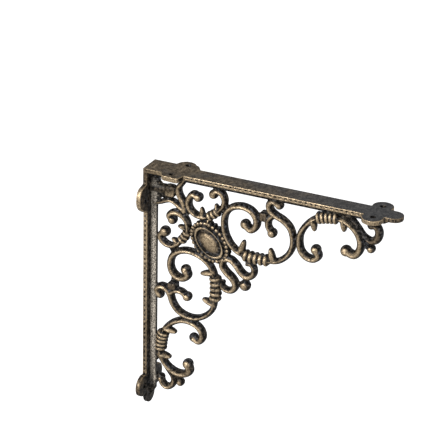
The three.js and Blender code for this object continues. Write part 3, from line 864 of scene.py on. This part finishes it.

# %% [markdown]
# The brush took bronze to the ridges of the bars, to the rings and to the faces of the thorns, and
# the brightest of it, on crests that face the front, is also a painted highlight. Less of it reached
# the collars and the far end of the shelf's openwork. The neck and the top of the corner knob lie
# under the shelf plate and get less bronze as painted shade. On the medallion it lies on the beads,
# the raised ring and the middle of the dome, and the beads on one side get less, as painted shade.

# %% Bronze and painted highlight on the openwork
RING_BRONZE = 0.85
THORN_BRONZE = 0.6
DOME_BRONZE = 0.62
BEAD_BRONZE, BEAD_PAINTED_SHADE = 0.66, 0.36

# Crests turned to the front and back: brushed bronze, and a painted highlight as from the lamp in front.
crest = ramp(depth + 0.7 * in_corner, 3.9, 5.1) * ramp(facing, 0.3, 0.8)
relief = ramp(wide, 0.05, 0.7)
brushed = in_openwork * crest * (0.5 + 0.5 * relief)
ring_tops = RING_BRONZE * ramp(depth, 2.2, 4.0) * ramp(near, 0.0, 0.12) * ramp(facing, 0.1, 0.5)
brushed = brushed * (1 - in_band) + in_band * ring_tops
thorn_faces = THORN_BRONZE * on_thorn * ramp(depth, 1.2, 2.6) * ramp(facing, 0.35, 0.7)
brushed = np.maximum(brushed, thorn_faces * (1 - in_band))
# Less bronze at the far end of the shelf's openwork, and by the neck less again, as painted shade.
brushed = brushed * (1 - 0.6 * shelf_end) * (1 - 0.7 * neck_in_shade)
# Less bronze on the collars, and on the top of the corner knob less again, as painted shade.
brushed = brushed * (1 - 0.55 * on_collar) * (1 - 0.75 * knob_top_in_shade)

ring_line = fade(np.abs(np.hypot(out / RING_LONG, aside / RING_SHORT) - 1), 0.04, 0.1)
dome_middle = fade(np.hypot(out / DOME_LONG, aside / DOME_SHORT), 0.5, 0.95)
# Beads on one side of the medallion get less bronze, as painted shade.
beads = ramp(depth, 4.2, 5.0) * ramp(near, 0.02, 0.12) * (BEAD_BRONZE - BEAD_PAINTED_SHADE * ramp(aside, 0, 9))
medallion = np.maximum(ring_line * ramp(depth, 3.8, 4.5), DOME_BRONZE * dome_middle)
medallion = np.maximum(medallion, beads * (oval > 0.88))
brushed = brushed * (1 - in_medallion) + in_medallion * medallion
print("bronze on the openwork", round(float(brushed.mean()), 3))

# %% [markdown]
# On the plates the bronze lies along the edges and on the narrow sides, where it is also a painted
# highlight on the sides that face the front, and fades at the corner, at the noses and low on the wall.

# %% Bronze on the plates
EDGE_BRONZE = 0.8
SIDE_BRONZE_AND_HIGHLIGHT = 0.55

# The narrow sides: brushed bronze, and a painted highlight where they face the front.
side_face = ramp(depth, 9.5, 9.85) * ramp(facing, 0.4, 0.8)
edge = ramp(near, 0.03, 0.12)
at_corner = fade(far_along, 14, 20)
nose = ramp(down_from_shelf, ARM - 30, ARM - 14) + 0.6 * ramp(from_wall, ARM - 15, ARM - 9)
low_on_wall = ramp(down_from_shelf, 90, 190)
faded = (1 - 0.55 * at_corner) * (1 - 0.85 * np.clip(nose, 0, 1)) * (1 - 0.4 * low_on_wall)
on_edges = np.maximum(EDGE_BRONZE * edge, SIDE_BRONZE_AND_HIGHLIGHT * side_face)
brushed = np.maximum(brushed, on_plates * on_edges * faded)
print("bronze with the plates", round(float(brushed.mean()), 3))

# %% [markdown]
# Hollows stay black: what lies below its surroundings, the walls of the screw holes, and the sunk
# line between the small bars of the edges.

# %% Hollows
hollow = fade(wide, -0.35, -0.02) * (1 - in_medallion)
for along_arm, holes in ((from_wall, SHELF_HOLES), (down_from_shelf, WALL_HOLES)):
    for hole_along, hole_across in holes:
        from_hole = np.hypot(along_arm - hole_along, places[:, 1] - hole_across)
        in_hole = fade(from_hole, HOLE_RADIUS + 0.3, HOLE_RADIUS + 0.9) * on_plates
        brushed = brushed * (1 - in_hole)
        hollow = np.maximum(hollow, in_hole)
groove_middle = TOP_RAIL + SUNK_LINE / 2
edge_groove = (fade(np.abs(down_or_along - groove_middle), SUNK_LINE * 0.3, SUNK_LINE * 0.6)
               * fade(depth, 9.35, 9.7) * ramp(depth, 8.4, 8.7))
brushed = brushed * (1 - edge_groove)
hollow = np.maximum(hollow, edge_groove)
print("hollows", round(float(hollow.mean()), 3))

# %% [markdown]
# Two faces have a finish of their own: the shelf face, warmer towards the wall, and the near face
# of the wall arm's rib, whose pale rub gives way to painted shade under the shelf plate. The masks
# are then stored on the skin, where the material reads them.

# %% Bare faces, and the masks on the skin
top_face = ramp(normals[:, 2], 0.8, 0.97) * fade(down_from_shelf, 0.2, 0.6)
warm_top = fade(from_wall, 10, 95)
above_foot = fade(down_from_shelf, ARM - 26, ARM - 18)
# The rub fades out towards the shelf plate: painted shade under it.
rib_face = (fade(from_wall, 9.6, 10.6) * ramp(from_wall, 4.4, 5.4) * fade(depth, 3.4, 4.2)
            * ramp(-normals[:, 1], 0.2, 0.6) * ramp(down_from_shelf, 8, 30) * above_foot)

for name, values in (("brushed", brushed), ("hollow", hollow), ("top_face", top_face),
                     ("warm_top", warm_top), ("rib_face", rib_face)):
    layer = casting.data.attributes.new(name, "FLOAT", "POINT")
    layer.data.foreach_set("value", values.astype(np.float32))
    print(name, "covers", round(float(values.mean()), 3))

# %% [markdown]
# Flat faces need few triangles, so the skin is thinned to what the shape needs. The masks are
# carried along with its points.

# %% Thin the skin
triangles = sum(len(face.vertices) - 2 for face in casting.data.polygons)
if triangles > MOST_TRIANGLES:
    use_modifier(casting, "DECIMATE", ratio=MOST_TRIANGLES / triangles)
select_only(casting)
bpy.ops.object.shade_smooth()
print("skin of", len(casting.data.polygons), "faces, from", triangles, "triangles")

# %% [markdown]
# The finish is one material. Its grain is a noise on the casting's own coordinates, kept as a node
# group because it is used at several scales.

# %% A node group for the cast grain
FINE_SCALE, MIDDLE_SCALE, BROAD_SCALE = 950.0, 380.0, 70.0
STROKE_SCALE = 620.0
STROKE_STRETCH = (1.0, 0.16, 1.0)
NO_STRETCH = (1.0, 1.0, 1.0)


def socket(group, name, kind, way, value=None):
    """Adds an input or output to a node group."""
    made = group.interface.new_socket(name=name, in_out=way, socket_type=kind)
    if value is not None:
        made.default_value = value


def grain_group():
    """Fine and coarse noise on the casting's own coordinates."""
    group = bpy.data.node_groups.new("cast grain", "ShaderNodeTree")
    socket(group, "Scale", "NodeSocketFloat", "INPUT", FINE_SCALE)
    socket(group, "Stretch", "NodeSocketVector", "INPUT", NO_STRETCH)
    socket(group, "Grain", "NodeSocketFloat", "OUTPUT")
    coordinates = group.nodes.new("ShaderNodeTexCoord")
    inputs = group.nodes.new("NodeGroupInput")
    stretched = group.nodes.new("ShaderNodeVectorMath")
    stretched.operation = "MULTIPLY"
    noise = group.nodes.new("ShaderNodeTexNoise")
    noise.inputs["Detail"].default_value = 4.0
    noise.inputs["Roughness"].default_value = 0.65
    outputs = group.nodes.new("NodeGroupOutput")
    group.links.new(coordinates.outputs["Object"], stretched.inputs[0])
    group.links.new(inputs.outputs["Stretch"], stretched.inputs[1])
    group.links.new(stretched.outputs["Vector"], noise.inputs["Vector"])
    group.links.new(inputs.outputs["Scale"], noise.inputs["Scale"])
    group.links.new(noise.outputs["Fac"], outputs.inputs["Grain"])
    return group


cast_grain = grain_group()
print("node group", cast_grain.name)

# %% [markdown]
# A few helpers lay out the nodes of the material, and each gives back the socket with its result.

# %% Helpers for the finish
# The one material also carries painted light: a sheen on the iron and a highlight on the bronze.
finish = bpy.data.materials.new("brushed_iron_with_painted_light")
finish.use_nodes = True
nodes, links = finish.node_tree.nodes, finish.node_tree.links
shader = nodes["Principled BSDF"]


def colour_mix(factor, first, second):
    """Mixes two colours; each may be a colour or a socket."""
    mix = nodes.new("ShaderNodeMix")
    mix.data_type = "RGBA"
    for name, value in (("A", first), ("B", second)):
        target = next(item for item in mix.inputs if item.name == name and item.type == "RGBA")
        if isinstance(value, tuple):
            target.default_value = (*value, 1.0)
        else:
            links.new(value, target)
    links.new(factor, mix.inputs[0])
    return next(item for item in mix.outputs if item.type == "RGBA")


def value_range(value, low, high, new_low=0.0, new_high=1.0):
    """A value moved from one range to another."""
    change = nodes.new("ShaderNodeMapRange")
    change.interpolation_type = "SMOOTHSTEP"
    change.inputs["From Min"].default_value = low
    change.inputs["From Max"].default_value = high
    change.inputs["To Min"].default_value = new_low
    change.inputs["To Max"].default_value = new_high
    links.new(value, change.inputs["Value"])
    return change.outputs["Result"]


def calculate(operation, first, second):
    """Two values put together; each may be a number or a socket."""
    node = nodes.new("ShaderNodeMath")
    node.operation = operation
    node.use_clamp = True
    for index, value in enumerate((first, second)):
        if isinstance(value, float):
            node.inputs[index].default_value = value
        else:
            links.new(value, node.inputs[index])
    return node.outputs["Value"]


def grain(scale, stretch=NO_STRETCH):
    """The cast grain at one scale, drawn out where a stretch is below one."""
    node = nodes.new("ShaderNodeGroup")
    node.node_tree = cast_grain
    node.inputs["Scale"].default_value = scale
    node.inputs["Stretch"].default_value = stretch
    return node.outputs["Grain"]


def mask(name):
    """A mask that the skin carries."""
    node = nodes.new("ShaderNodeAttribute")
    node.attribute_name = name
    return node.outputs["Fac"]


# %% [markdown]
# Underneath is near-black iron with a painted sheen in patches of the grain, a reflection painted
# into the colour, that shifts between brown and blue grey. Bronze lies over it where the mask of
# bronze and highlight says and no hollow is, broken up by the grain as a dry brush leaves it. Where
# that mask is high the bronze turns light, a painted highlight on the crests.

# %% Iron with a painted sheen, bronze with a painted highlight
IRON_BLACK = (0.0022, 0.0018, 0.0016)
PAINTED_SHEEN_BROWN, PAINTED_SHEEN_BLUE = (0.125, 0.100, 0.072), (0.095, 0.098, 0.110)
BRONZE_DARK, BRONZE_HIGHLIGHT = (0.115, 0.078, 0.045), (0.80, 0.62, 0.40)

fine, middle, broad = grain(FINE_SCALE), grain(MIDDLE_SCALE), grain(BROAD_SCALE)
# The iron's lighter patches are a painted sheen, brown or blue grey.
painted_sheen = colour_mix(value_range(broad, 0.4, 0.6), PAINTED_SHEEN_BROWN, PAINTED_SHEEN_BLUE)
iron = colour_mix(value_range(middle, 0.46, 0.68), IRON_BLACK, painted_sheen)
# Where the mask is high the bronze is light: a painted highlight on the crests, broken by grain.
bronze_grain_and_highlight = calculate("MULTIPLY", mask("brushed"), value_range(fine, 0.35, 0.62, 0.35, 1.25))
bronze = colour_mix(bronze_grain_and_highlight, BRONZE_DARK, BRONZE_HIGHLIGHT)
# How much bronze covers the iron, from the brushing and the painted highlight; it also makes it metal.
bronze_wear_and_highlight = calculate("MULTIPLY", mask("brushed"), value_range(middle, 0.32, 0.6, 0.35, 2.6))
bronze_wear_and_highlight = calculate("MULTIPLY", bronze_wear_and_highlight, value_range(broad, 0.3, 0.6, 0.6, 1.1))
bronze_wear_and_highlight = calculate("SUBTRACT", bronze_wear_and_highlight, mask("hollow"))
iron_bronze_and_painted_light = colour_mix(bronze_wear_and_highlight, iron, bronze)
print(len(nodes), "nodes for iron and bronze")

# %% [markdown]
# The shelf face is a matt charcoal, cool at its far end and warmer towards the wall, where the
# brush has left strokes across the plate.

# %% Shelf face
COOL_DARK, COOL_LIGHT = (0.032, 0.033, 0.036), (0.098, 0.095, 0.093)
WARM_DARK, WARM_LIGHT = (0.030, 0.022, 0.014), (0.165, 0.130, 0.090)
STROKE_COLOUR = (0.34, 0.26, 0.17)

top_tone = calculate("ADD", value_range(fine, 0.38, 0.64, 0.0, 0.6),
                     value_range(middle, 0.42, 0.62, -0.1, 0.5))
cool = colour_mix(top_tone, COOL_DARK, COOL_LIGHT)
warm = colour_mix(top_tone, WARM_DARK, WARM_LIGHT)
warmth = calculate("MULTIPLY", mask("warm_top"), value_range(broad, 0.3, 0.6, 0.5, 1.6))
charcoal = colour_mix(warmth, cool, warm)
strokes = value_range(grain(STROKE_SCALE, STROKE_STRETCH), 0.52, 0.62)
strokes = calculate("MULTIPLY", strokes, value_range(broad, 0.48, 0.62, 0.0, 0.55))
strokes = calculate("MULTIPLY", strokes, mask("warm_top"))
charcoal = colour_mix(strokes, charcoal, STROKE_COLOUR)
print(len(nodes), "nodes with the shelf face")

# %% [markdown]
# The near face of the wall arm's rib is rubbed to a pale tan grey, which ends near the shelf plate
# in painted shade. Bronze shines like metal, the iron beside it like paint, and the shelf face hardly
# at all. The grain also roughens the skin.

# %% Rib, shine and relief
TAN_DARK, TAN_LIGHT = (0.055, 0.048, 0.040), (0.74, 0.66, 0.55)
PAINT_ROUGHNESS, SHELF_ROUGHNESS = 0.42, 0.75
BRONZE_METAL = 0.7
PAINT_SPECULAR = 0.18
GRAIN_STRENGTH = 0.5
GRAIN_HEIGHT = 0.0005

colour = colour_mix(mask("top_face"), iron_bronze_and_painted_light, charcoal)
tan = colour_mix(value_range(fine, 0.4, 0.62), TAN_DARK, TAN_LIGHT)
colour = colour_mix(mask("rib_face"), colour, tan)
links.new(colour, shader.inputs["Base Color"])
roughness = value_range(mask("top_face"), 0.0, 1.0, PAINT_ROUGHNESS, SHELF_ROUGHNESS)
links.new(roughness, shader.inputs["Roughness"])
links.new(value_range(bronze_wear_and_highlight, 0.0, 1.0, 0.0, BRONZE_METAL), shader.inputs["Metallic"])
shader.inputs["Specular IOR Level"].default_value = PAINT_SPECULAR
bump = nodes.new("ShaderNodeBump")
bump.inputs["Strength"].default_value = GRAIN_STRENGTH
bump.inputs["Distance"].default_value = GRAIN_HEIGHT
links.new(calculate("ADD", fine, calculate("MULTIPLY", broad, 0.5)), bump.inputs["Height"])
links.new(bump.outputs["Normal"], shader.inputs["Normal"])

casting.data.materials.clear()
casting.data.materials.append(finish)
print("finish on", casting.name, "of", len(nodes), "nodes")

# %% [markdown]
# The casting stands in for the frame's own node and rides on its body. The sections have done
# their work and go.

# %% Place in the frame
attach(casting, "root")
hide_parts("bracket_casting")
for section in (bar_section, sunk_section, bridge_section, band_section):
    bpy.data.objects.remove(section)
print("casting in the frame, without the sections")

# %% [markdown]
# The studio is plain: a white floor well below the bracket, white surroundings and two large soft
# lamps, the brighter one in front and above on the left.

# %% Studio
FLOOR_DROP = 0.45
FLOOR_SIZE = 14.0
WHITE = (1.0, 1.0, 1.0, 1.0)
SURROUNDINGS = 0.42

bpy.ops.object.select_all(action="DESELECT")
bpy.ops.mesh.primitive_plane_add(size=FLOOR_SIZE, location=(0.0, 0.0, casting_low.z - FLOOR_DROP))
floor = bpy.context.object
floor.name = "floor"
paper = bpy.data.materials.new("white_paper")
paper.use_nodes = True
for name, value in (("Base Color", (0.95, 0.95, 0.95, 1.0)), ("Roughness", 0.9), ("Specular IOR Level", 0.0),
                    ("Emission Color", WHITE), ("Emission Strength", 0.7)):
    paper.node_tree.nodes["Principled BSDF"].inputs[name].default_value = value
floor.data.materials.append(paper)
floor.visible_diffuse = False
floor.visible_glossy = False

world = bpy.data.worlds.new("studio")
bpy.context.scene.world = world
world.use_nodes = True
world.node_tree.nodes["Background"].inputs["Color"].default_value = WHITE
world.node_tree.nodes["Background"].inputs["Strength"].default_value = SURROUNDINGS


def soft_lamp(name, location, size, power):
    """A large square lamp that looks at the bracket."""
    bpy.ops.object.select_all(action="DESELECT")
    bpy.ops.object.light_add(type="AREA", location=location)
    lamp = bpy.context.object
    lamp.name = name
    lamp.data.size = size
    lamp.data.energy = power
    lamp.rotation_mode = "QUATERNION"
    lamp.rotation_quaternion = (AIM - Vector(location)).to_track_quat("-Z", "Y")


soft_lamp("key_lamp", (-0.5, -1.5, 1.0), size=0.6, power=30.0)
soft_lamp("fill_lamp", (1.4, -0.9, 0.9), size=0.8, power=8.0)
bpy.context.scene.view_settings.view_transform = "Standard"
print("studio ready")
